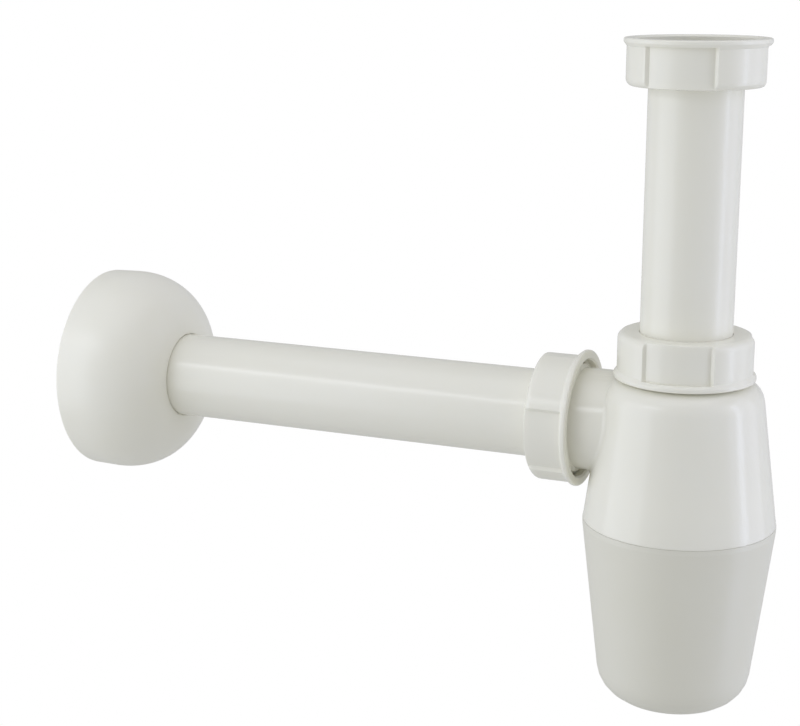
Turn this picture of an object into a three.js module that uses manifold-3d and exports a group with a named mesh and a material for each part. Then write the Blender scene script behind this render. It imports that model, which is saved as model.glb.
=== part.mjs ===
// Bottle trap for a washbasin: 1 1/4 inch inlet, 32 mm horizontal outlet with a wall rosette.
// Millimetres. +Z is up along the inlet tube, and the outlet runs along -X to the wall.
// The origin is the centre of the inlet gasket's top face, where the basin waste seats.
import * as THREE from 'three';
import { mergeVertices } from 'three/addons/utils/BufferGeometryUtils.js';
import Module from 'manifold-3d';

const wasm = await Module();
wasm.setup();

// ---------------------------------------------------------------- driving dimensions

const FACETS = 30; // flats around every round piece
const FILLET_STEP = Math.PI / 6; // one flat of a fillet's arc
const GAP = 0.3; // clearance between pieces that rest on each other

// The 32 mm tube, and the bores that it slides in.
const TUBE_R = 16;
const TUBE_BORE_R = 14.2;
const SLIDE_R = 16.5;
const COLLAR_R = 19.4; // turned-out collars and flanges that pass through a nut's thread

// One screw thread serves the nuts and the cup. The ridge is a trapezoid.
const PITCH = 3;
const RIDGE_ROOT_W = 1.3;
const RIDGE_CREST_W = 0.7;
const RIDGE_DEPTH = 1.1;
const RIDGE_BURY = 0.3; // how far a ridge's root reaches into its wall

// Grip nut, measured from its closed end to its open, threaded end.
const NUT_H = 16;
const NUT_FLOOR = 2.4;
const NUT_RIM_R = 24.6;
const NUT_RIM_H = 2.3; // above the grip panels
const NUT_FLARE_H = 1.4; // the pads flare out into the rim over this height
const NUT_PAD_R = 23.55;
const NUT_PANEL_R = 22.4;
const NUT_BORE_R = 21.1;
const NUT_EDGE = 2.4; // rounding of the closed end
const NUT_SIDES = 3;
const NECK_R = 19.6; // root of the male thread that the nut screws on

// What the nut holds, measured from its closed end.
const RING_AT = NUT_FLOOR + GAP;
const RING_H = 1.2;
const SEAL_AT = RING_AT + RING_H + GAP;
const SEAT_AT = 7.3; // mouth of the conical seat
const SEAT_R = 18.8; // the seat narrows at 45 degrees from here
const SEAT_END_R = 17;
const SEAT_H = SEAT_R - SEAT_END_R;
const SEAL_R = 18.9;
const NECK_THREAD_AT = 10; // where the neck's ridge starts
const NECK_TURNS = 7 / 6;

// Heights along the inlet tube.
const UNION_NUT_Z = -8.2; // closed end
const GASKET_H = 2.8;
const COLLAR_H = 2.4;
const COLLAR_Z = -GASKET_H - GAP;
const INLET_END_Z = -150;
const BODY_NUT_Z = -92.4; // closed end, which is on top
const DIP_FLANGE_H = 1.7;
const DIP_FLANGE_Z = BODY_NUT_Z - SEAT_AT;
const DIP_END_Z = -191;
const DIP_R = 18;
const NECK_TOP_Z = DIP_FLANGE_Z - DIP_FLANGE_H - GAP;
const SHOULDER_Z = -108.8;
const OUTLET_Z = -127.2;
const LEDGE_Z = -153.5; // the cup seal presses up on this ledge
const BODY_END_Z = -160.4;
const CUP_TOP_Z = -160.8;
const CUP_BAND_Z = -162.3; // the cup is straight from here up to its top
const CUP_BASE_Z = -227.5;

// Upper body and cup.
const WALL = 2.2;
const SHOULDER_R = 26.96;
const BODY_R = 33.9;
const SHOULDER_FILLET = 8.2;
const NECK_BORE_R = DIP_R + GAP;
const SKIRT_BORE_R = 31.2;
const LEDGE_R = 28.7;
const CUP_R = 34;
const CUP_BASE_R = 26.1;
const CUP_BASE_FILLET = 12.6;
const CUP_NECK_R = 29.8;
const CUP_NECK_TOP_Z = -156.3;
const CUP_BORE_R = 28;
const CUP_STRAIGHT_Z = -180; // the bore is straight to here, then narrows to the bottom
const CUP_FLOOR_R = 23.9;
const CUP_THREAD_Z = -160; // where the cup's own ridge starts
const SEAL_FLAT_H = 2.2;

// Outlet side, along the X axis.
const OUTLET_NUT_X = -51.5; // closed end, towards the wall
const SPIGOT_R = 18.3;
const SPIGOT_STEP_AT = 14.2; // where the threaded end steps down to the spigot
const SPIGOT_ROOT_AT = 27; // inside the body
const OUTLET_TUBE_X = -33.5;
const OUTLET_TUBE_L = 200;
const WALL_X = -235.2;

// Rosette, measured from the wall.
const ROSETTE_H = 35.7;
const ROSETTE_RIM_R = 39;
const ROSETTE_R = 39.5;
const ROSETTE_SIDE_H = 10;
const ROSETTE_HOLE_R = 16.6;
const ROSETTE_WALL = 2;
const ROSETTE_POWER = 2.1;
const ROSETTE_STEPS = 7;

// The direction that the middle of one grip panel faces, about each nut's own axis.
const UNION_NUT_TURN = THREE.MathUtils.degToRad(-91);
const BODY_NUT_TURN = THREE.MathUtils.degToRad(83);
const OUTLET_NUT_TURN = THREE.MathUtils.degToRad(-78);

// ---------------------------------------------------------------- solids

// A closed mesh becomes a solid for joining and cutting. Triangles with no area, which a
// profile leaves where it meets the axis, are dropped.
function solid(geometry) {
  geometry.deleteAttribute('normal');
  geometry.deleteAttribute('uv');
  const merged = mergeVertices(geometry);
  const index = merged.index.array;
  const triVerts = [];
  for (let i = 0; i < index.length; i += 3) {
    const [a, b, c] = index.slice(i, i + 3);
    if (a !== b && b !== c && c !== a) triVerts.push(a, b, c);
  }
  return new wasm.Manifold(new wasm.Mesh({
    numProp: 3,
    vertProperties: merged.attributes.position.array,
    triVerts: new Uint32Array(triVerts),
  }));
}

function geometryOf(manifold) {
  const mesh = manifold.getMesh();
  const geometry = new THREE.BufferGeometry();
  geometry.setAttribute('position', new THREE.BufferAttribute(mesh.vertProperties, 3));
  geometry.setIndex(new THREE.BufferAttribute(mesh.triVerts, 1));
  geometry.computeVertexNormals();
  return geometry;
}

// The arc that rounds the corner between two straight stretches of a profile.
function fillet(before, corner, after, radius) {
  const back = before.clone().sub(corner).normalize();
  const on = after.clone().sub(corner).normalize();
  const half = Math.acos(back.dot(on)) / 2;
  const inwards = back.clone().add(on).normalize();
  const centre = corner.clone().addScaledVector(inwards, radius / Math.sin(half));
  const start = corner.clone().addScaledVector(back, radius / Math.tan(half)).sub(centre);
  const sweep = (Math.PI - 2 * half) * Math.sign(on.cross(back));
  const steps = Math.ceil(Math.abs(sweep) / FILLET_STEP);
  const points = [];
  for (let i = 0; i <= steps; i += 1) {
    points.push(start.clone().rotateAround(new THREE.Vector2(), sweep * i / steps).add(centre));
  }
  return points;
}

// A closed profile in the half plane of radius and height. Each corner is [radius, height],
// or [radius, height, fillet], and the corners run anticlockwise.
function profile(corners) {
  const points = corners.map(([radius, height]) => new THREE.Vector2(radius, height));
  return points.flatMap((corner, i) => {
    const rounding = corners[i][2];
    const next = points[(i + 1) % points.length];
    return rounding ? fillet(points.at(i - 1), corner, next, rounding) : [corner];
  });
}

// Turns a closed profile about the Z axis, with a corner between two flats on the X axis.
function revolve(corners) {
  const points = profile(corners);
  points.push(points[0].clone());
  return new THREE.LatheGeometry(points, FACETS).rotateX(Math.PI / 2).rotateZ(Math.PI / 2);
}

function ring(innerR, outerR, low, high) {
  return revolve([[innerR, low], [outerR, low], [outerR, high], [innerR, high]]);
}

// A right-handed helix about the Z axis. Its section stays in the plane through the axis,
// with the section's x pointing away from the axis and its y pointing down.
class Helix extends THREE.Curve {
  constructor(radius, start, firstFlat, flats) {
    super();
    Object.assign(this, { radius, start, firstFlat, flats });
  }

  angle(t) {
    return (this.firstFlat + this.flats * t) * 2 * Math.PI / FACETS;
  }

  getPoint(t, target = new THREE.Vector3()) {
    const angle = this.angle(t);
    const height = this.start + PITCH * angle / (2 * Math.PI);
    return target.set(this.radius * Math.cos(angle), this.radius * Math.sin(angle), height);
  }

  computeFrenetFrames(steps) {
    const angles = Array.from({ length: steps + 1 }, (_, i) => this.angle(i / steps));
    return {
      tangents: angles.map((a) => new THREE.Vector3(-Math.sin(a), Math.cos(a), 0)),
      normals: angles.map((a) => new THREE.Vector3(Math.cos(a), Math.sin(a), 0)),
      binormals: angles.map(() => new THREE.Vector3(0, 0, -1)),
    };
  }
}

// One thread ridge on a wall of the given radius. It stands outwards on a male thread and
// inwards on a female one, and starts at the given height where the angle is zero.
function ridge(radius, outwards, start, firstFlat, flats) {
  const section = new THREE.Shape([
    new THREE.Vector2(-outwards * RIDGE_BURY, -RIDGE_ROOT_W / 2),
    new THREE.Vector2(outwards * RIDGE_DEPTH, -RIDGE_CREST_W / 2),
    new THREE.Vector2(outwards * RIDGE_DEPTH, RIDGE_CREST_W / 2),
    new THREE.Vector2(-outwards * RIDGE_BURY, RIDGE_ROOT_W / 2),
  ]);
  const path = new Helix(radius, start, firstFlat, flats);
  return new THREE.ExtrudeGeometry(section, { steps: flats, extrudePath: path });
}

// ---------------------------------------------------------------- materials

function plastic(color, roughness) {
  return () => new THREE.MeshStandardMaterial({ color, roughness, metalness: 0 });
}

const glossPlastic = plastic(0xeeefec, 0.3);
const cupPlastic = plastic(0xe2e3df, 0.5);
const sealRubber = plastic(0x2b2c2e, 0.8);
const slipPlastic = plastic(0xd9dad4, 0.45);

// ---------------------------------------------------------------- grip nut

// A wedge of a ring, with flats that match the revolved pieces.
function ringWedge(innerR, outerR, middle, width, height) {
  const low = middle - width / 2;
  const high = middle + width / 2;
  const shape = new THREE.Shape();
  shape.absarc(0, 0, outerR, low, high, false);
  shape.absarc(0, 0, innerR, high, low, true);
  const curveSegments = Math.round(width / (2 * Math.PI) * FACETS);
  return new THREE.ExtrudeGeometry(shape, { depth: height, bevelEnabled: false, curveSegments });
}

// The same nut serves in three places. Three plain pads stand between three sunk panels,
// and a wider rim runs round the open end.
function gripNut(turn) {
  const rimZ = NUT_H - NUT_RIM_H;
  const flareZ = rimZ - NUT_FLARE_H / 3;
  let nut = solid(revolve([
    [SLIDE_R, 0],
    [NUT_PAD_R, 0, NUT_EDGE],
    [NUT_PAD_R, flareZ],
    [NUT_RIM_R, flareZ + NUT_FLARE_H],
    [NUT_RIM_R, NUT_H, 0.6],
    [NUT_BORE_R + 0.7, NUT_H],
    [NUT_BORE_R, NUT_H - 0.7],
    [NUT_BORE_R, NUT_FLOOR],
    [SLIDE_R, NUT_FLOOR],
  ]));
  for (let side = 0; side < NUT_SIDES; side += 1) {
    const middle = turn + side * 2 * Math.PI / NUT_SIDES;
    const panel = ringWedge(NUT_PANEL_R, NUT_RIM_R + 1, middle, Math.PI / NUT_SIDES, rimZ + 1);
    nut = nut.subtract(solid(panel.translate(0, 0, -1)));
  }
  const thread = ridge(NUT_BORE_R, -1, NECK_THREAD_AT + PITCH / 2, -FACETS / 2, FACETS * NECK_TURNS);
  return nut.add(solid(thread));
}

// ---------------------------------------------------------------- what the nut clamps

function slipRing() {
  return solid(ring(SLIDE_R, COLLAR_R, RING_AT, RING_AT + RING_H));
}

// Rubber seal with a 45 degree nose that lies along the seat.
function coneSeal() {
  const noseR = SEAT_END_R - 0.1;
  const noseEnd = SEAT_AT + SEAT_R - noseR - GAP * Math.SQRT2;
  return solid(revolve([
    [TUBE_R + GAP, SEAL_AT],
    [SEAL_R, SEAL_AT],
    [SEAL_R, noseEnd - (SEAL_R - noseR)],
    [noseR, noseEnd],
    [TUBE_R + GAP, noseEnd],
  ]));
}

// ---------------------------------------------------------------- inlet

function inletTube() {
  return solid(revolve([
    [TUBE_BORE_R, INLET_END_Z],
    [TUBE_R, INLET_END_Z],
    [TUBE_R, COLLAR_Z - COLLAR_H],
    [COLLAR_R, COLLAR_Z - COLLAR_H],
    [COLLAR_R, COLLAR_Z],
    [TUBE_BORE_R, COLLAR_Z],
  ]));
}

function inletGasket() {
  return solid(ring(TUBE_BORE_R, COLLAR_R - 0.2, -GASKET_H, 0));
}

// ---------------------------------------------------------------- trap body

// Radius of the body's outer side at a height, and of its inner face a wall inside it.
function bodySide(z) {
  return SHOULDER_R + (BODY_R - SHOULDER_R) * (SHOULDER_Z - z) / (SHOULDER_Z - BODY_END_Z);
}

function bodyShell() {
  return solid(revolve([
    [0, BODY_END_Z],
    [BODY_R - 0.5, BODY_END_Z],
    [BODY_R, BODY_END_Z + 0.5],
    [SHOULDER_R, SHOULDER_Z, SHOULDER_FILLET],
    [NECK_R, SHOULDER_Z],
    [NECK_R, NECK_TOP_Z - 0.5],
    [NECK_R - 0.5, NECK_TOP_Z],
    [0, NECK_TOP_Z],
  ]));
}

function bodyCavity() {
  const roofZ = SHOULDER_Z - WALL;
  const slope = (BODY_R - SHOULDER_R) / (SHOULDER_Z - BODY_END_Z);
  const straightZ = SHOULDER_Z - (LEDGE_R + WALL - SHOULDER_R) / slope;
  return solid(revolve([
    [0, BODY_END_Z - 1],
    [SKIRT_BORE_R, BODY_END_Z - 1],
    [SKIRT_BORE_R, LEDGE_Z],
    [LEDGE_R, LEDGE_Z],
    [LEDGE_R, straightZ],
    [bodySide(roofZ) - WALL, roofZ, SHOULDER_FILLET - WALL],
    [NECK_BORE_R, roofZ],
    [NECK_BORE_R, NECK_TOP_Z + 1],
    [0, NECK_TOP_Z + 1],
  ]));
}

// Swings a piece that was made along +Z to lie along the outlet, and moves it there.
function alongOutlet(geometry) {
  return geometry.rotateY(Math.PI / 2).translate(OUTLET_NUT_X, 0, OUTLET_Z);
}

function spigot() {
  return solid(alongOutlet(revolve([
    [0, SEAT_AT],
    [NECK_R, SEAT_AT],
    [NECK_R, SPIGOT_STEP_AT],
    [SPIGOT_R, SPIGOT_STEP_AT + 0.8],
    [SPIGOT_R, SPIGOT_ROOT_AT],
    [0, SPIGOT_ROOT_AT],
  ])));
}

function spigotBore() {
  return solid(alongOutlet(revolve([
    [0, SEAT_AT - 1],
    [SEAT_R + 1, SEAT_AT - 1],
    [SEAT_END_R, SEAT_AT + SEAT_H],
    [SLIDE_R, SEAT_AT + SEAT_H + 0.5],
    [SLIDE_R, SPIGOT_ROOT_AT + 2],
    [0, SPIGOT_ROOT_AT + 2],
  ])));
}

// The male ridge is measured from the nut's closed end, as the nut's own ridge is.
function neckRidge() {
  return ridge(NECK_R, 1, NECK_THREAD_AT, 0, FACETS * NECK_TURNS);
}

function trapBody() {
  const neckThread = solid(neckRidge().rotateX(Math.PI).translate(0, 0, BODY_NUT_Z));
  const spigotThread = solid(alongOutlet(neckRidge()));
  const cupThread = solid(ridge(SKIRT_BORE_R, -1, CUP_THREAD_Z + PITCH / 2, 0, FACETS * 4 / 3));
  return bodyShell()
    .add(spigot())
    .subtract(bodyCavity())
    .subtract(spigotBore())
    .add(neckThread)
    .add(spigotThread)
    .add(cupThread);
}

// Immersion tube: its flange hangs on the neck, and its mouth is the seal's seat.
function dipTube() {
  return solid(revolve([
    [SLIDE_R, DIP_END_Z],
    [DIP_R, DIP_END_Z],
    [DIP_R, DIP_FLANGE_Z - DIP_FLANGE_H],
    [COLLAR_R, DIP_FLANGE_Z - DIP_FLANGE_H],
    [COLLAR_R, DIP_FLANGE_Z],
    [SEAT_R, DIP_FLANGE_Z],
    [SEAT_END_R, DIP_FLANGE_Z - SEAT_H],
    [SLIDE_R, DIP_FLANGE_Z - SEAT_H - 0.5],
  ]));
}

// ---------------------------------------------------------------- cup

function cup() {
  const bowl = solid(revolve([
    [0, CUP_BASE_Z],
    [CUP_BASE_R, CUP_BASE_Z, CUP_BASE_FILLET],
    [CUP_R, CUP_BAND_Z],
    [CUP_R, CUP_TOP_Z - 0.5],
    [CUP_R - 0.5, CUP_TOP_Z],
    [CUP_NECK_R, CUP_TOP_Z],
    [CUP_NECK_R, CUP_NECK_TOP_Z],
    [CUP_BORE_R, CUP_NECK_TOP_Z],
    [CUP_BORE_R, CUP_STRAIGHT_Z],
    [CUP_FLOOR_R, CUP_BASE_Z + WALL, CUP_BASE_FILLET - WALL],
    [0, CUP_BASE_Z + WALL],
  ]));
  return bowl.add(solid(ridge(CUP_NECK_R, 1, CUP_THREAD_Z, 0, FACETS)));
}

function cupSeal() {
  const low = CUP_NECK_TOP_Z + GAP;
  return solid(ring(CUP_BORE_R + 0.1, CUP_NECK_R - 0.1, low, low + SEAL_FLAT_H));
}

// ---------------------------------------------------------------- outlet

function outletTube() {
  return solid(ring(TUBE_BORE_R, TUBE_R, OUTLET_TUBE_X - OUTLET_TUBE_L, OUTLET_TUBE_X));
}

// Points of the dome from its side to the front hole, on a curve a little squarer than
// an ellipse.
function dome(sideR, holeR, low, high) {
  const points = [];
  for (let i = 0; i <= ROSETTE_STEPS; i += 1) {
    const angle = i / ROSETTE_STEPS * Math.PI / 2;
    const across = Math.cos(angle) ** (2 / ROSETTE_POWER);
    const along = Math.sin(angle) ** (2 / ROSETTE_POWER);
    points.push([holeR + (sideR - holeR) * across, low + (high - low) * along]);
  }
  return points;
}

function wallRosette() {
  const outer = dome(ROSETTE_R, ROSETTE_HOLE_R, ROSETTE_SIDE_H, ROSETTE_H);
  const inner = dome(
    ROSETTE_R - ROSETTE_WALL,
    ROSETTE_HOLE_R,
    ROSETTE_SIDE_H,
    ROSETTE_H - ROSETTE_WALL,
  );
  return solid(revolve([
    [ROSETTE_RIM_R - ROSETTE_WALL, 0],
    [ROSETTE_RIM_R, 0],
    ...outer,
    ...inner.reverse(),
  ]));
}

// ---------------------------------------------------------------- assembly

const trap = new THREE.Group();

function add(parent, name, shape, material) {
  const mesh = new THREE.Mesh(geometryOf(shape), material());
  mesh.name = name;
  parent.add(mesh);
  return mesh;
}

// A group with its own origin and its own +Z. At a nut, +Z runs from the closed end to the
// open one. On the outlet it runs from the wall to the body.
function placed(position, rotation) {
  const group = new THREE.Group();
  group.position.copy(position);
  group.rotation.copy(rotation);
  trap.add(group);
  return group;
}

const up = new THREE.Euler();
const down = new THREE.Euler(Math.PI, 0, 0);
const inwards = new THREE.Euler(0, Math.PI / 2, 0);

const unionEnd = placed(new THREE.Vector3(0, 0, UNION_NUT_Z), up);
add(unionEnd, 'inlet_union_nut', gripNut(UNION_NUT_TURN), glossPlastic);

const bodyEnd = placed(new THREE.Vector3(0, 0, BODY_NUT_Z), down);
add(bodyEnd, 'body_nut', gripNut(BODY_NUT_TURN), glossPlastic);
add(bodyEnd, 'body_slip_ring', slipRing(), slipPlastic);
add(bodyEnd, 'body_cone_seal', coneSeal(), sealRubber);

const outletEnd = placed(new THREE.Vector3(OUTLET_NUT_X, 0, OUTLET_Z), inwards);
add(outletEnd, 'outlet_nut', gripNut(OUTLET_NUT_TURN), glossPlastic);
add(outletEnd, 'outlet_slip_ring', slipRing(), slipPlastic);
add(outletEnd, 'outlet_cone_seal', coneSeal(), sealRubber);

add(trap, 'inlet_gasket', inletGasket(), sealRubber);
add(trap, 'inlet_tube', inletTube(), glossPlastic);
add(trap, 'trap_body', trapBody(), glossPlastic);
add(trap, 'dip_tube', dipTube(), glossPlastic);
add(trap, 'cup', cup(), cupPlastic);
add(trap, 'cup_seal', cupSeal(), sealRubber);

const wallSide = placed(new THREE.Vector3(0, 0, OUTLET_Z), inwards);
add(wallSide, 'outlet_tube', outletTube(), glossPlastic);
const rosette = add(wallSide, 'wall_rosette', wallRosette(), glossPlastic);
rosette.position.z = WALL_X;

export default trap;
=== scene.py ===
"""The looks of a bottle trap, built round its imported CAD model.

Shapes are worked out in millimetres and scaled to metres when a mesh is made. Each piece is
turned about a local Z axis. Inlet pieces, the body and the cup use world heights. A nut and
what it clamps are measured from the nut's closed end towards its open end, and the rosette
and the wall tube from the wall. The studio at the end is in metres, watts and degrees.
"""
import math

import bmesh
import bpy
import numpy as np
from mathutils import Matrix, Vector

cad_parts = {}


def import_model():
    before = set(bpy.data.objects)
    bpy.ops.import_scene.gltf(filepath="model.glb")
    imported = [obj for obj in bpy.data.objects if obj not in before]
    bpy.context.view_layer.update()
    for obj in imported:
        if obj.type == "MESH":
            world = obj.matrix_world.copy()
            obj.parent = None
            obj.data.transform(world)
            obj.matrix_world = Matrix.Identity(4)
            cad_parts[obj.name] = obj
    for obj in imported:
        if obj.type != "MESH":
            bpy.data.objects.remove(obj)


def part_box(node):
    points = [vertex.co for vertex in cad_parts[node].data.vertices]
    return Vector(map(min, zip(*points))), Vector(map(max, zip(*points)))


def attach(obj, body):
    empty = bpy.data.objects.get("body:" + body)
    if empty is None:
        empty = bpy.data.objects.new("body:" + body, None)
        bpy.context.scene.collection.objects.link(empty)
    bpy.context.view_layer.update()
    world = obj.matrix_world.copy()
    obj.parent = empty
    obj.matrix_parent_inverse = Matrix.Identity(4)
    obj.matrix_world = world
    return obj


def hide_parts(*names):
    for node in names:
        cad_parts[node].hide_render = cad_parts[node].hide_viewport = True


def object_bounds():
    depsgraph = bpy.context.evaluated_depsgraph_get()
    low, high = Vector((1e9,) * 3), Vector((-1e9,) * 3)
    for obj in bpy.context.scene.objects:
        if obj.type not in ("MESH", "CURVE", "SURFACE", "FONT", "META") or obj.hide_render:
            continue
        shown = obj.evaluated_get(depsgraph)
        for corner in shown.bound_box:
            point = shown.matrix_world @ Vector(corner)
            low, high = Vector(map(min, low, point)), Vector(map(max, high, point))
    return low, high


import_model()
cad_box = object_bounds()

MM = 0.001
TURN = 2 * math.pi

# ---------------------------------------------------------------- sizes that the frame gives


def low(node):
    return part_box(node)[0] / MM


def high(node):
    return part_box(node)[1] / MM


def radius(node):
    """How far a piece that stands along Z reaches from the axis, along X."""
    return high(node).x


OUTLET_Z = (low("outlet_tube").z + high("outlet_tube").z) / 2
COLLAR_R = radius("inlet_tube")
TUBE_R = high("outlet_tube").z - OUTLET_Z
NUT_RIM_R = radius("inlet_union_nut")
NUT_H = high("inlet_union_nut").z - low("inlet_union_nut").z
DIP_FLANGE_Z = high("dip_tube").z
NECK_TOP_Z = high("trap_body").z
BODY_END_Z = low("trap_body").z
BODY_R = radius("trap_body")
CUP_R = radius("cup")
CUP_NECK_TOP_Z = high("cup").z
CUP_BASE_Z = low("cup").z
ROSETTE_R = high("wall_rosette").y
ROSETTE_H = high("wall_rosette").x - low("wall_rosette").x

# ---------------------------------------------------------------- sizes of the mouldings

GAP = 0.3
TUBE_BORE_R = 14.2
SLIDE_R = 16.5
COLLAR_H = 2.4

PITCH = 3.0
RIDGE_ROOT_W = 1.5
RIDGE_CREST_W = 0.6
RIDGE_DEPTH = 1.1
THREAD_FADE = 1.6
THREAD_ROW = 0.3

NUT_HOLE_R = 16.1
NUT_FLOOR = 2.4
NUT_RIM_H = 2.3
NUT_FLARE_H = 1.4
NUT_PAD_R = 23.55
NUT_PANEL_R = 22.4
NUT_BORE_R = 21.1
NUT_EDGE = 2.4
NUT_SIDES = 3
NECK_R = 19.6
SEAT_AT = 7.3
SEAT_R = 18.8
SEAT_END_R = 17.0
SEAT_H = SEAT_R - SEAT_END_R
NECK_THREAD_AT = 10.0
NUT_THREAD_FROM = NUT_FLOOR + 4
NUT_THREAD_TO = NUT_H - 2.4
RING_AT = NUT_FLOOR + GAP
RING_H = 1.2
SEAL_AT = RING_AT + RING_H + GAP
SEAL_R = 18.9

SHOULDER_Z = -108.8
SHOULDER_R = 26.96
SHOULDER_FILLET = 8.2
WALL = 2.2
DIP_R = 18.0
DIP_FLANGE_H = 1.7
NECK_BORE_R = 18.3
SKIRT_BORE_R = 31.2
LEDGE_Z = -153.5
LEDGE_R = 28.7
SPIGOT_R = 18.3
SPIGOT_STEP_AT = 14.2
SPIGOT_BORE_END_AT = 29
SPIGOT_FLARE = 1.5
SPIGOT_ROOT = 2.5

SEAM_FILLET = 0.12
SEAM_GAP = 0.06
CUP_TOP_Z = BODY_END_Z - SEAM_GAP
CUP_BAND_Z = -162.3
CUP_BASE_R = 26.1
CUP_BASE_FILLET = 12.6
CUP_NECK_R = 29.8
CUP_BORE_R = 28.0
CUP_STRAIGHT_Z = -180.0
CUP_FLOOR_R = 23.9
CUP_THREAD_Z = -160.0

ROSETTE_RIM_R = 39.0
ROSETTE_SIDE_H = 10.0
ROSETTE_HOLE_R = 16.2
ROSETTE_WALL = 2.0
ROSETTE_POWER = 2.1
ROSETTE_ROWS = 28

UNION_NUT_TURN = math.radians(-91)
BODY_NUT_TURN = math.radians(83)
OUTLET_NUT_TURN = math.radians(-78)

FLATS = 144
TUBE_FLATS = 96
ARC_STEP = math.radians(15)
SHARP = math.radians(38)

# ---------------------------------------------------------------- where each piece stands

SCALE = Matrix.Scale(MM, 4)
IN_WORLD = SCALE
AT_UNION_NUT = SCALE @ Matrix.Translation((0, 0, low("inlet_union_nut").z))
AT_BODY_NUT = (
    SCALE @ Matrix.Translation((0, 0, high("body_nut").z)) @ Matrix.Rotation(math.pi, 4, "X")
)
AT_OUTLET_NUT = (
    SCALE
    @ Matrix.Translation((low("outlet_nut").x, 0, OUTLET_Z))
    @ Matrix.Rotation(math.pi / 2, 4, "Y")
)
AT_WALL = (
    SCALE
    @ Matrix.Translation((low("wall_rosette").x, 0, OUTLET_Z))
    @ Matrix.Rotation(math.pi / 2, 4, "Y")
)

# ---------------------------------------------------------------- profiles


def smooth_step(x):
    x = np.clip(x, 0, 1)
    return x * x * (3 - 2 * x)


def rounded(before, corner, after, fillet):
    """A corner's arc, with one more point on each side, where there is room, that keeps the
    flats beside it flat."""
    back = (before - corner).normalized()
    on = (after - corner).normalized()
    half = back.angle(on) / 2
    reach = fillet / math.tan(half)
    centre = corner + (back + on).normalized() * fillet / math.sin(half)
    start = corner + back * reach - centre
    end = corner + on * reach - centre
    sweep = start.angle_signed(end)
    steps = max(3, math.ceil(abs(sweep) / ARC_STEP))
    arc = [centre + Matrix.Rotation(-sweep * i / steps, 2) @ start for i in range(steps + 1)]
    hold = 0.25 * fillet
    if (before - corner).length > reach + 2 * hold:
        arc.insert(0, arc[0] + back * hold)
    if (after - corner).length > reach + 2 * hold:
        arc.append(arc[-1] + on * hold)
    return arc


def outline(corners):
    """Points of a profile of (radius, height, fillet, spacing). Fillet and spacing may be left
    out. Spacing cuts the stretch that follows the corner into rows no longer than that."""
    full = [tuple(c) + (0, 0)[len(c) - 2:] for c in corners]
    points = [Vector(c[:2]) for c in full]
    count = len(full)
    parts = []
    for i, (_, _, fillet, _) in enumerate(full):
        here = points[i]
        parts.append(
            rounded(points[i - 1], here, points[(i + 1) % count], fillet) if fillet else [here]
        )
    result = []
    for i, part in enumerate(parts):
        result += part
        spacing = full[i][3]
        if spacing:
            start = part[-1]
            end = parts[(i + 1) % count][0]
            rows = math.ceil((end - start).length / spacing)
            result += [start.lerp(end, k / rows) for k in range(1, rows)]
    return np.array([p[:] for p in result])


# ---------------------------------------------------------------- meshes


def even_angles(count):
    return np.arange(count) * TURN / count


def turned(profile, angles, reshape=None):
    """Rows of points from turning a profile. reshape(radius, height, angle) gives new radii."""
    r = np.repeat(profile[:, :1], len(angles), axis=1)
    z = np.repeat(profile[:, 1:], len(angles), axis=1)
    a = np.repeat(angles[None], len(profile), axis=0)
    if reshape:
        r = reshape(r, z, a)
    return np.stack([r * np.cos(a), r * np.sin(a), z], axis=2)


def skin(name, rows, place):
    """A closed mesh over rows of points. Rows that start and end on the axis close there, and
    others join the last row to the first."""
    on_axis = np.allclose(rows[0, :, :2], 0) and np.allclose(rows[-1, :, :2], 0)
    rings = rows[1:-1] if on_axis else rows
    n, count = rings.shape[:2]
    index = np.arange(n * count).reshape(n, count)
    beside = np.roll(index, -1, axis=1)
    below = np.roll(index, -1, axis=0)
    diagonal = np.roll(below, -1, axis=1)
    quads = np.stack([index, beside, diagonal, below], axis=2)
    faces = quads[: n - 1 if on_axis else n].reshape(-1, 4).tolist()
    points = rings.reshape(-1, 3).tolist()
    if on_axis:
        for ring, tip in ((index[0], rows[0, 0]), (index[-1], rows[-1, 0])):
            points.append(tip.tolist())
            faces += [[ring[j], ring[(j + 1) % count], len(points) - 1] for j in range(count)]
    mesh = bpy.data.meshes.new(name)
    mesh.from_pydata([place @ Vector(p) for p in points], [], faces)
    piece = bpy.data.objects.new(name, mesh)
    bpy.context.scene.collection.objects.link(piece)
    finish_mesh(piece)
    return piece


def finish_mesh(piece):
    """Turns the faces outwards, and shades smooth but for real edges."""
    shape = bmesh.new()
    shape.from_mesh(piece.data)
    bmesh.ops.recalc_face_normals(shape, faces=shape.faces)
    for face in shape.faces:
        face.smooth = True
    for edge in shape.edges:
        edge.smooth = edge.calc_face_angle(0) < SHARP
    shape.to_mesh(piece.data)
    shape.free()


def combine(base, steps):
    """Joins solids to the base or cuts them from it, in order, and removes them."""
    for operation, tool in steps:
        modifier = base.modifiers.new("combine", "BOOLEAN")
        modifier.operation = operation
        modifier.solver = "MANIFOLD"
        modifier.object = tool
    graph = bpy.context.evaluated_depsgraph_get()
    mesh = bpy.data.meshes.new_from_object(base.evaluated_get(graph))
    base.modifiers.clear()
    base.data = mesh
    for _, tool in steps:
        bpy.data.objects.remove(tool)
    finish_mesh(base)
    return base


def settle(piece, body, node, material):
    """Puts a finished piece on its body in place of its CAD node, with its material."""
    piece.data.materials.clear()
    piece.data.materials.append(material)
    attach(piece, body)
    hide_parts(node)
    return piece


# ---------------------------------------------------------------- screw threads


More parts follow.
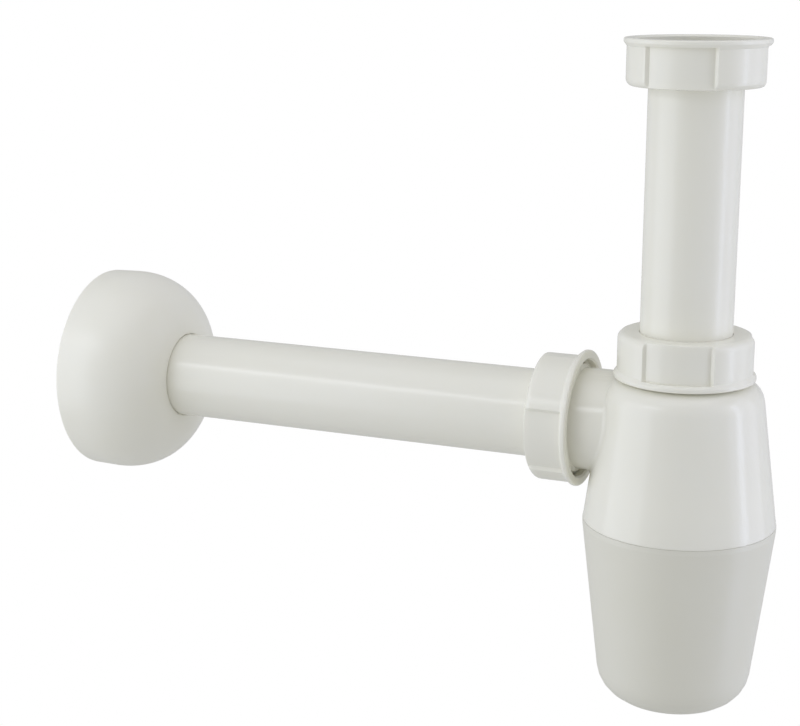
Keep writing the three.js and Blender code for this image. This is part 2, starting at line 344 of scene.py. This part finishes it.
def ridge_height(z, angle, start, first, last):
    """Height of a right-handed ridge, which passes the given start where the angle is zero and
    fades out towards the first and last heights of its thread."""
    turns = (z - start) / PITCH - angle / TURN
    away = np.abs(turns - np.round(turns)) * PITCH
    flank = (RIDGE_ROOT_W - RIDGE_CREST_W) / 2
    height = np.clip((RIDGE_ROOT_W / 2 - away) / flank, 0, 1) * RIDGE_DEPTH
    return height * smooth_step((z - first) / THREAD_FADE) * smooth_step((last - z) / THREAD_FADE)


def threaded(root, outwards, start, first, last):
    """A reshape that raises a thread on the stretch of a profile that lies at the root radius."""
    def reshape(r, z, angle):
        on_root = (np.abs(r - root) < 0.01) & (z > first) & (z < last)
        return r + outwards * on_root * ridge_height(z, angle, start, first, last)
    return reshape


# ---------------------------------------------------------------- grip nuts

PANEL_HALF = math.pi / 2 / NUT_SIDES
PAD_EDGE = math.radians(1.0)


def nut_angles(turn):
    """Even angles, with more of them across the steps at the ends of the grip panels."""
    across = np.array([-1.15, -1, -0.5, 0, 0.5, 1, 1.15]) * PAD_EDGE
    middles = turn + np.arange(NUT_SIDES) * TURN / NUT_SIDES
    edges = np.concatenate([middles - PANEL_HALF, middles + PANEL_HALF])
    steps = (edges[:, None] + across[None]).ravel() % TURN
    even = even_angles(FLATS)
    gap = np.abs((even[:, None] - edges[None] + math.pi) % TURN - math.pi).min(axis=1)
    return np.sort(np.concatenate([even[gap > 1.6 * PAD_EDGE], steps]))


def nut_shape(turn):
    """A reshape that sinks the grip panels and cuts the thread."""
    rim_z = NUT_H - NUT_RIM_H
    third = TURN / NUT_SIDES
    start = NECK_THREAD_AT + PITCH / 2
    thread = threaded(NUT_BORE_R, -1, start, NUT_THREAD_FROM, NUT_THREAD_TO)

    def reshape(r, z, angle):
        away = np.abs((angle - turn + third / 2) % third - third / 2)
        sunk = np.clip((PANEL_HALF + PAD_EDGE - away) / (2 * PAD_EDGE), 0, 1)
        grip = (z < rim_z + 0.01) & (r > NUT_PANEL_R)
        return thread(r - grip * sunk * (r - NUT_PANEL_R), z, angle)
    return reshape


def grip_nut(name, turn, place):
    """A nut whose panels end at rim_z, where one row ends the panels and the next, a hair
    above it, starts the flared rim."""
    rim_z = NUT_H - NUT_RIM_H
    flare_z = rim_z - NUT_FLARE_H / 3
    ledge_r = NUT_PAD_R + (NUT_RIM_R - NUT_PAD_R) / 3
    profile = outline([
        (NUT_HOLE_R, 0, 0.25),
        (NUT_PAD_R, 0, NUT_EDGE),
        (NUT_PAD_R, flare_z, 0.3),
        (ledge_r, rim_z),
        (ledge_r + 0.01, rim_z + 0.02),
        (NUT_RIM_R, flare_z + NUT_FLARE_H, 0.5),
        (NUT_RIM_R, NUT_H, 0.6),
        (NUT_BORE_R + 0.6, NUT_H, 0.2),
        (NUT_BORE_R, NUT_H - 0.6, 0, THREAD_ROW),
        (NUT_BORE_R, NUT_FLOOR, 0.4),
        (NUT_HOLE_R, NUT_FLOOR, 0.3),
    ])
    return skin(name, turned(profile, nut_angles(turn), nut_shape(turn)), place)


# ---------------------------------------------------------------- rings, seals and tubes


def plain_ring(name, node, inner, fillet):
    """A ring or washer with rounded edges, in the space of its CAD node along the Z axis."""
    outer = radius(node)
    profile = outline([
        (inner, low(node).z, fillet),
        (outer, low(node).z, fillet),
        (outer, high(node).z, fillet),
        (inner, high(node).z, fillet),
    ])
    return skin(name, turned(profile, even_angles(TUBE_FLATS)), IN_WORLD)


def nut_ring(name, place):
    """The thin hard ring between a nut's floor and its seal."""
    profile = outline([
        (SLIDE_R, RING_AT, 0.2),
        (COLLAR_R, RING_AT, 0.2),
        (COLLAR_R, RING_AT + RING_H, 0.2),
        (SLIDE_R, RING_AT + RING_H, 0.2),
    ])
    return skin(name, turned(profile, even_angles(TUBE_FLATS)), place)


def cone_seal(name, place):
    """A rubber seal whose 45 degree cone stays a gap away from the conical seat."""
    nose_r = SEAT_END_R - 0.1
    nose_end = SEAT_AT + SEAT_R - nose_r - GAP * math.sqrt(2)
    profile = outline([
        (TUBE_R + GAP, SEAL_AT, 0.3),
        (SEAL_R, SEAL_AT, 0.4),
        (SEAL_R, nose_end - (SEAL_R - nose_r), 0.3),
        (nose_r, nose_end, 0.2),
        (TUBE_R + GAP, nose_end, 0.2),
    ])
    return skin(name, turned(profile, even_angles(TUBE_FLATS)), place)


def inlet_tube(name):
    end = low("inlet_tube").z
    top = high("inlet_tube").z
    collar = top - COLLAR_H
    profile = outline([
        (TUBE_BORE_R, end, 0.4),
        (TUBE_R, end, 0.7),
        (TUBE_R, collar),
        (COLLAR_R, collar, 0.4),
        (COLLAR_R, top, 0.4),
        (TUBE_BORE_R, top, 0.6),
    ])
    return skin(name, turned(profile, even_angles(TUBE_FLATS)), IN_WORLD)


def outlet_tube(name):
    length = high("outlet_tube").x - low("outlet_tube").x
    end = low("outlet_tube").x - low("wall_rosette").x
    profile = outline([
        (TUBE_BORE_R, end, 0.4),
        (TUBE_R, end, 0.7),
        (TUBE_R, end + length, 0.7),
        (TUBE_BORE_R, end + length, 0.4),
    ])
    return skin(name, turned(profile, even_angles(TUBE_FLATS)), AT_WALL)


def dip_tube(name):
    end = low("dip_tube").z
    flange = DIP_FLANGE_Z - DIP_FLANGE_H
    profile = outline([
        (SLIDE_R, end, 0.3),
        (DIP_R, end, 0.5),
        (DIP_R, flange, 0.2),
        (COLLAR_R, flange, 0.3),
        (COLLAR_R, DIP_FLANGE_Z, 0.2),
        (SEAT_R, DIP_FLANGE_Z, 0.1),
        (SEAT_END_R, DIP_FLANGE_Z - SEAT_H, 0.2),
        (SLIDE_R, DIP_FLANGE_Z - SEAT_H - 0.5, 0.3),
    ])
    return skin(name, turned(profile, even_angles(TUBE_FLATS)), IN_WORLD)


# ---------------------------------------------------------------- body

SIDE_SLOPE = (BODY_R - SHOULDER_R) / (SHOULDER_Z - BODY_END_Z)
BODY_OUTER = [
    (0, BODY_END_Z),
    (BODY_R, BODY_END_Z, SEAM_FILLET, 1.4),
    (SHOULDER_R, SHOULDER_Z, SHOULDER_FILLET),
    (NECK_R, SHOULDER_Z, 0.3, THREAD_ROW),
    (NECK_R, NECK_TOP_Z, 0.4),
    (0, NECK_TOP_Z),
]


def body_outer():
    """The outside of the body as one solid, with the neck's thread."""
    start = high("body_nut").z - NECK_THREAD_AT
    thread = threaded(NECK_R, 1, start, SHOULDER_Z + 0.6, NECK_TOP_Z - 0.4)
    rows = turned(outline(BODY_OUTER), even_angles(FLATS), thread)
    return skin("trap_body_fine", rows, IN_WORLD)


def body_cavity():
    """The hollow inside the body, with the ridge of the cup's thread left standing. It runs
    past the body's two ends and opens the skirt's mouth by a chamfer."""
    past = 1
    chamfer = 0.5
    roof = SHOULDER_Z - WALL
    straight = SHOULDER_Z - (LEDGE_R + WALL - SHOULDER_R) / SIDE_SLOPE
    roof_r = SHOULDER_R + WALL * SIDE_SLOPE - WALL
    profile = outline([
        (0, BODY_END_Z - past),
        (SKIRT_BORE_R + chamfer, BODY_END_Z - past),
        (SKIRT_BORE_R + chamfer, BODY_END_Z),
        (SKIRT_BORE_R, BODY_END_Z + chamfer, 0, THREAD_ROW),
        (SKIRT_BORE_R, LEDGE_Z, 0.2),
        (LEDGE_R, LEDGE_Z, 0.2),
        (LEDGE_R, straight, 0, 2),
        (roof_r, roof, SHOULDER_FILLET - WALL),
        (NECK_BORE_R, roof, 0.3),
        (NECK_BORE_R, NECK_TOP_Z + past),
        (0, NECK_TOP_Z + past),
    ])
    start = CUP_THREAD_Z + PITCH / 2
    thread = threaded(SKIRT_BORE_R, -1, start, BODY_END_Z + chamfer, LEDGE_Z - 0.2)
    return skin("body_cavity", turned(profile, even_angles(FLATS), thread), IN_WORLD)


def body_radius(z):
    """Radius of the body's outside at heights between its shoulder and its end."""
    side = outline(BODY_OUTER)
    side = side[(side[:, 1] > BODY_END_Z) & (side[:, 1] <= SHOULDER_Z) & (side[:, 0] > NECK_R)]
    return np.interp(z, *side.T[::-1])


def spigot():
    """The side spigot, solid, with a thread at its mouth and a flare where it meets the body.
    The flare's rows follow the body's surface, so their height along the spigot varies. It
    fades out towards the top, where the spigot meets the rounded shoulder."""
    angles = even_angles(FLATS)
    straight = outline([
        (0, SEAT_AT),
        (NECK_R, SEAT_AT, 0.4, THREAD_ROW),
        (NECK_R, SPIGOT_STEP_AT, 0.3),
        (SPIGOT_R, SPIGOT_STEP_AT + 0.8, 0.3),
        (SPIGOT_R, SPIGOT_STEP_AT + 1.6),
    ])
    thread = threaded(NECK_R, 1, NECK_THREAD_AT, SEAT_AT + 0.5, SPIGOT_STEP_AT - 0.3)
    up = -np.cos(angles)
    flare = SPIGOT_FLARE * smooth_step((0.85 - up) / 0.5)

    def flare_row(bend, sunk):
        r = SPIGOT_R + flare * (1 - math.cos(bend))
        z = OUTLET_Z + r * up
        surface = np.sqrt(body_radius(z) ** 2 - (r * np.sin(angles)) ** 2)
        along = sunk - surface - low("outlet_nut").x - flare * (1 - math.sin(bend))
        return np.stack([r * np.cos(angles), r * np.sin(angles), along], axis=1)

    bends = [math.radians(bend) for bend in range(0, 90, 12)]
    rows = [flare_row(bend, 0) for bend in bends] + [flare_row(bends[-1], SPIGOT_ROOT)]
    tip = np.zeros((len(angles), 3))
    tip[:, 2] = rows[-1][:, 2].mean()
    rows = np.concatenate([turned(straight, angles, thread), np.array([*rows, tip])])
    return skin("spigot", rows, AT_OUTLET_NUT)


def spigot_bore():
    profile = outline([
        (0, SEAT_AT - 1),
        (SEAT_R + 1, SEAT_AT - 1),
        (SEAT_END_R, SEAT_AT + SEAT_H, 0.2),
        (SLIDE_R, SEAT_AT + SEAT_H + 0.5, 0.3),
        (SLIDE_R, SPIGOT_BORE_END_AT),
        (0, SPIGOT_BORE_END_AT),
    ])
    return skin("spigot_bore", turned(profile, even_angles(FLATS)), AT_OUTLET_NUT)


def trap_body():
    return combine(body_outer(), [
        ("UNION", spigot()),
        ("DIFFERENCE", body_cavity()),
        ("DIFFERENCE", spigot_bore()),
    ])


# ---------------------------------------------------------------- cup


def cup(name):
    """The cup, with a foot ring round a sunk base and the small mark of the moulding gate."""
    sunk_z = CUP_BASE_Z + 0.8
    gate_z = CUP_BASE_Z + 0.3
    profile = outline([
        (0, gate_z),
        (1.6, gate_z, 0.2),
        (1.9, sunk_z, 0.2),
        (10, sunk_z, 1),
        (11.5, CUP_BASE_Z, 0.8),
        (CUP_BASE_R, CUP_BASE_Z, CUP_BASE_FILLET, 3),
        (CUP_R, CUP_BAND_Z, 1.2),
        (CUP_R, CUP_TOP_Z, SEAM_FILLET),
        (CUP_NECK_R, CUP_TOP_Z, 0.3, THREAD_ROW),
        (CUP_NECK_R, CUP_NECK_TOP_Z, 0.3),
        (CUP_BORE_R, CUP_NECK_TOP_Z, 0.3),
        (CUP_BORE_R, CUP_STRAIGHT_Z, 0, 4),
        (CUP_FLOOR_R, CUP_BASE_Z + WALL, CUP_BASE_FILLET - WALL),
        (0, CUP_BASE_Z + WALL),
    ])
    thread = threaded(CUP_NECK_R, 1, CUP_THREAD_Z, CUP_TOP_Z + 0.3, CUP_NECK_TOP_Z - 0.3)
    return skin(name, turned(profile, even_angles(FLATS), thread), IN_WORLD)


# ---------------------------------------------------------------- rosette


def dome(side_r, end):
    """Points of the dome from its side to the front hole, on a curve a little squarer than an
    ellipse."""
    angle = np.linspace(0, math.pi / 2, ROSETTE_ROWS)
    across = np.cos(angle) ** (2 / ROSETTE_POWER)
    along = np.sin(angle) ** (2 / ROSETTE_POWER)
    r = ROSETTE_HOLE_R + (side_r - ROSETTE_HOLE_R) * across
    z = ROSETTE_SIDE_H + (end - ROSETTE_SIDE_H) * along
    return list(zip(r, z))


def wall_rosette(name):
    outer = dome(ROSETTE_R, ROSETTE_H)
    inner = dome(ROSETTE_R - ROSETTE_WALL, ROSETTE_H - ROSETTE_WALL)
    outer[-1] = (*outer[-1], 0.6)
    inner[-1] = (*inner[-1], 0.25)
    profile = outline([
        (ROSETTE_RIM_R - ROSETTE_WALL, 0, 0.4),
        (ROSETTE_RIM_R, 0, 0.6),
        *outer,
        *inner[::-1],
    ])
    return skin(name, turned(profile, even_angles(FLATS)), AT_WALL)


# ---------------------------------------------------------------- materials

SURFACE_IOR = 1.49
# Noise textures mostly stay between these two values.
NOISE_LOW = 0.2
NOISE_HIGH = 0.8
# How strongly light scatters under a surface, how deep in metres, and red, green and blue's shares
# of that depth.
GLOW = 0.12
GLOW_DEPTH = 0.004
GLOW_SHARES = (1.0, 0.95, 0.85)


class Material:
    """A node material on one Principled shader, with its texture coordinates in metres."""

    def __init__(self, name, roughness, specular=0.5):
        self.material = bpy.data.materials.new(name)
        self.material.use_nodes = True
        self.tree = self.material.node_tree
        self.shader = self.tree.nodes["Principled BSDF"]
        self.shader.inputs["Roughness"].default_value = roughness
        self.shader.inputs["Specular IOR Level"].default_value = specular
        self.shader.inputs["IOR"].default_value = SURFACE_IOR
        self.place = self.tree.nodes.new("ShaderNodeTexCoord").outputs["Object"]

    def link(self, output, target):
        self.tree.links.new(output, target)

    def noise(self, scale, detail, roughness=0.5, stretch=(1, 1, 1)):
        mapping = self.tree.nodes.new("ShaderNodeMapping")
        mapping.inputs["Scale"].default_value = stretch
        texture = self.tree.nodes.new("ShaderNodeTexNoise")
        texture.inputs["Scale"].default_value = scale
        texture.inputs["Detail"].default_value = detail
        texture.inputs["Roughness"].default_value = roughness
        self.link(self.place, mapping.inputs["Vector"])
        self.link(mapping.outputs["Vector"], texture.inputs["Vector"])
        return texture.outputs["Fac"]

    def colour(self, factor, first, second):
        ramp = self.tree.nodes.new("ShaderNodeValToRGB")
        ramp.color_ramp.elements[0].position = NOISE_LOW
        ramp.color_ramp.elements[1].position = NOISE_HIGH
        ramp.color_ramp.elements[0].color = (*first, 1)
        ramp.color_ramp.elements[1].color = (*second, 1)
        self.link(factor, ramp.inputs["Fac"])
        self.link(ramp.outputs["Color"], self.shader.inputs["Base Color"])

    def rough(self, factor, low_value, high_value):
        spread = self.tree.nodes.new("ShaderNodeMapRange")
        spread.inputs["From Min"].default_value = NOISE_LOW
        spread.inputs["From Max"].default_value = NOISE_HIGH
        spread.inputs["To Min"].default_value = low_value
        spread.inputs["To Max"].default_value = high_value
        self.link(factor, spread.inputs["Value"])
        self.link(spread.outputs["Result"], self.shader.inputs["Roughness"])

    def bump(self, height, distance):
        """Adds relief of the given height in metres on top of any relief already there."""
        node = self.tree.nodes.new("ShaderNodeBump")
        node.inputs["Distance"].default_value = distance
        self.link(height, node.inputs["Height"])
        normal = self.shader.inputs["Normal"]
        if normal.is_linked:
            self.link(normal.links[0].from_socket, node.inputs["Normal"])
        self.link(node.outputs["Normal"], normal)

    def glow_through(self):
        """Light that scatters under the surface, as in thin polypropylene."""
        self.shader.inputs["Subsurface Weight"].default_value = GLOW
        self.shader.inputs["Subsurface Radius"].default_value = GLOW_SHARES
        self.shader.inputs["Subsurface Scale"].default_value = GLOW_DEPTH


def moulded_white(name, first, second, rough_low, rough_high):
    """Smooth moulded polypropylene: faint mottling, uneven gloss and a fine surface ripple."""
    plastic = Material(name, rough_low)
    plastic.colour(plastic.noise(38, 2), first, second)
    plastic.rough(plastic.noise(60, 2), rough_low, rough_high)
    plastic.bump(plastic.noise(45, 1), 0.00006)
    plastic.bump(plastic.noise(2600, 2, 0.6), 0.000004)
    plastic.glow_through()
    return plastic.material


def extruded_white(name, first, second, rough_low, rough_high, stretch):
    """Extruded tube: as moulded plastic, with faint draw lines along the tube."""
    plastic = Material(name, rough_low)
    plastic.colour(plastic.noise(30, 3), first, second)
    lines = plastic.noise(420, 2, 0.5, stretch)
    plastic.rough(lines, rough_low, rough_high)
    plastic.bump(lines, 0.000003)
    plastic.bump(plastic.noise(45, 1), 0.00006)
    plastic.glow_through()
    return plastic.material


def satin_white(name, first, second):
    """The cup's satin plastic, slightly greyer, with a fine spark-eroded grain."""
    plastic = Material(name, 0.35)
    plastic.colour(plastic.noise(34, 4), first, second)
    plastic.rough(plastic.noise(120, 3), 0.31, 0.38)
    plastic.bump(plastic.noise(1700, 3, 0.7), 0.00001)
    plastic.glow_through()
    return plastic.material


def rubber(name):
    """Black sealing rubber with a dusty bloom."""
    black = Material(name, 0.8, 0.3)
    black.colour(black.noise(160, 5, 0.6), (0.018, 0.018, 0.02), (0.05, 0.05, 0.052))
    black.rough(black.noise(220, 3), 0.7, 0.9)
    black.bump(black.noise(2200, 3, 0.7), 0.00002)
    return black.material


# ---------------------------------------------------------------- pieces

WARM = (0.905, 0.89, 0.785)
COOL = (0.918, 0.905, 0.815)
nut_white = moulded_white("nut_white", WARM, COOL, 0.18, 0.25)
body_white = moulded_white("body_white", WARM, COOL, 0.14, 0.2)
rosette_white = moulded_white("rosette_white", WARM, COOL, 0.285, 0.34)
upright_tube_white = extruded_white("upright_tube_white", WARM, COOL, 0.19, 0.25, (1, 1, 0.01))
level_tube_white = extruded_white("level_tube_white", WARM, COOL, 0.19, 0.25, (0.01, 1, 1))
cup_satin = satin_white("cup_satin", (0.79, 0.775, 0.675), (0.803, 0.79, 0.70))
slip_white = moulded_white("slip_white", (0.66, 0.66, 0.6), (0.72, 0.72, 0.66), 0.4, 0.5)
seal_black = rubber("seal_black")

settle(
    grip_nut("union_nut_fine", UNION_NUT_TURN, AT_UNION_NUT),
    "union_nut", "inlet_union_nut", nut_white,
)
settle(
    grip_nut("body_nut_fine", BODY_NUT_TURN, AT_BODY_NUT),
    "top_nut", "body_nut", nut_white,
)
settle(
    grip_nut("outlet_nut_fine", OUTLET_NUT_TURN, AT_OUTLET_NUT),
    "side_nut", "outlet_nut", nut_white,
)
settle(inlet_tube("inlet_tube_fine"), "inlet", "inlet_tube", upright_tube_white)
settle(dip_tube("dip_tube_fine"), "body", "dip_tube", upright_tube_white)
settle(outlet_tube("outlet_tube_fine"), "wall_tube", "outlet_tube", level_tube_white)
settle(trap_body(), "body", "trap_body", body_white)
settle(cup("cup_fine"), "bottom_cup", "cup", cup_satin)
settle(wall_rosette("wall_rosette_fine"), "rosette", "wall_rosette", rosette_white)
settle(
    plain_ring("inlet_gasket_fine", "inlet_gasket", TUBE_BORE_R, 0.3),
    "inlet", "inlet_gasket", seal_black,
)
settle(
    plain_ring("cup_seal_fine", "cup_seal", CUP_BORE_R + 0.1, 0.3),
    "cup_ring", "cup_seal", seal_black,
)
for side, place, ring_body, seal_body in (
    ("body", AT_BODY_NUT, "top_ring", "height_seal"),
    ("outlet", AT_OUTLET_NUT, "side_ring", "side_seal"),
):
    ring = nut_ring(side + "_slip_ring_fine", place)
    seal = cone_seal(side + "_cone_seal_fine", place)
    settle(ring, ring_body, side + "_slip_ring", slip_white)
    settle(seal, seal_body, side + "_cone_seal", seal_black)

# ---------------------------------------------------------------- studio

CAMERA_AT = Vector((0.1325, -0.5572, 0.0330))
CAMERA_AZIMUTH = math.radians(23.34)
CAMERA_ELEVATION = math.radians(13.6)
CAMERA_LENS = 75.1
FLOOR_DROP = 0.55
FLOOR_SIZE = 160
FLOOR_LIGHT = (0.53, 0.535, 0.54)
WORLD_LIGHT = (0.45, 0.453, 0.456)


def camera():
    data = bpy.data.cameras.new("camera")
    data.lens = CAMERA_LENS
    data.sensor_width = 36
    data.clip_end = 300
    piece = bpy.data.objects.new("camera", data)
    bpy.context.scene.collection.objects.link(piece)
    piece.location = CAMERA_AT
    piece.rotation_euler = (math.pi / 2 - CAMERA_ELEVATION, 0, CAMERA_AZIMUTH)
    bpy.context.scene.camera = piece


def softbox(name, side, rise, distance, width, height, watts, colour):
    """A rectangular light that faces the middle of the object. Side is its angle from the
    camera's own direction, to the right, and rise its angle above the middle, in degrees."""
    middle = (cad_box[0] + cad_box[1]) / 2
    data = bpy.data.lights.new(name, "AREA")
    data.shape = "RECTANGLE"
    data.size = width
    data.size_y = height
    data.energy = watts
    data.color = colour
    piece = bpy.data.objects.new(name, data)
    bpy.context.scene.collection.objects.link(piece)
    lift = math.radians(rise)
    turn = Matrix.Rotation(CAMERA_AZIMUTH + math.radians(side), 3, "Z")
    away = turn @ Vector((0, -math.cos(lift), math.sin(lift)))
    piece.location = middle + away * distance
    piece.rotation_euler = away.to_track_quat("Z", "Y").to_euler()


def white_for_camera(tree, output_type, light):
    """Emission that looks white in the picture and lights the object with a softer colour."""
    ray = tree.nodes.new("ShaderNodeLightPath")
    mix = tree.nodes.new("ShaderNodeMixRGB")
    mix.inputs["Color1"].default_value = (*light, 1)
    mix.inputs["Color2"].default_value = (1, 1, 1, 1)
    tree.links.new(ray.outputs["Is Camera Ray"], mix.inputs["Fac"])
    source = tree.nodes.new(
        "ShaderNodeBackground" if output_type == "World" else "ShaderNodeEmission"
    )
    source.inputs["Strength"].default_value = 1
    tree.links.new(mix.outputs["Color"], source.inputs["Color"])
    output = next(n for n in tree.nodes if n.type == "OUTPUT_" + output_type.upper())
    tree.links.new(source.outputs[0], output.inputs["Surface"])


def floor():
    mesh = bpy.data.meshes.new("floor")
    half = FLOOR_SIZE / 2
    corners = [(-half, -half, 0), (half, -half, 0), (half, half, 0), (-half, half, 0)]
    mesh.from_pydata(corners, [], [(0, 1, 2, 3)])
    piece = bpy.data.objects.new("floor", mesh)
    bpy.context.scene.collection.objects.link(piece)
    piece.location.z = cad_box[0].z - FLOOR_DROP
    pale = bpy.data.materials.new("pale_floor")
    pale.use_nodes = True
    white_for_camera(pale.node_tree, "Material", FLOOR_LIGHT)
    mesh.materials.append(pale)


def world():
    white = bpy.data.worlds.new("studio")
    white.use_nodes = True
    bpy.context.scene.world = white
    white_for_camera(white.node_tree, "World", WORLD_LIGHT)


camera()
floor()
world()
softbox(
    "left_softbox", side=-76, rise=4, distance=0.75, width=0.83, height=0.92,
    watts=2.75, colour=(0.85, 0.885, 1.0),
)
softbox(
    "left_strip", side=-52, rise=34, distance=0.9, width=0.5, height=0.12,
    watts=0.65, colour=(0.9, 0.925, 1.0),
)
softbox(
    "right_softbox", side=80, rise=8, distance=1.0, width=0.95, height=1.2,
    watts=2.9, colour=(0.80, 0.805, 1.0),
)
softbox(
    "right_strip", side=72, rise=0, distance=1.0, width=0.16, height=1.3,
    watts=1.8, colour=(0.73, 0.795, 1.0),
)
softbox(
    "top_softbox", side=0, rise=80, distance=1.0, width=1.2, height=1.0,
    watts=2.3, colour=(0.92, 0.925, 1.0),
)
bpy.context.scene.view_settings.view_transform = "Standard"
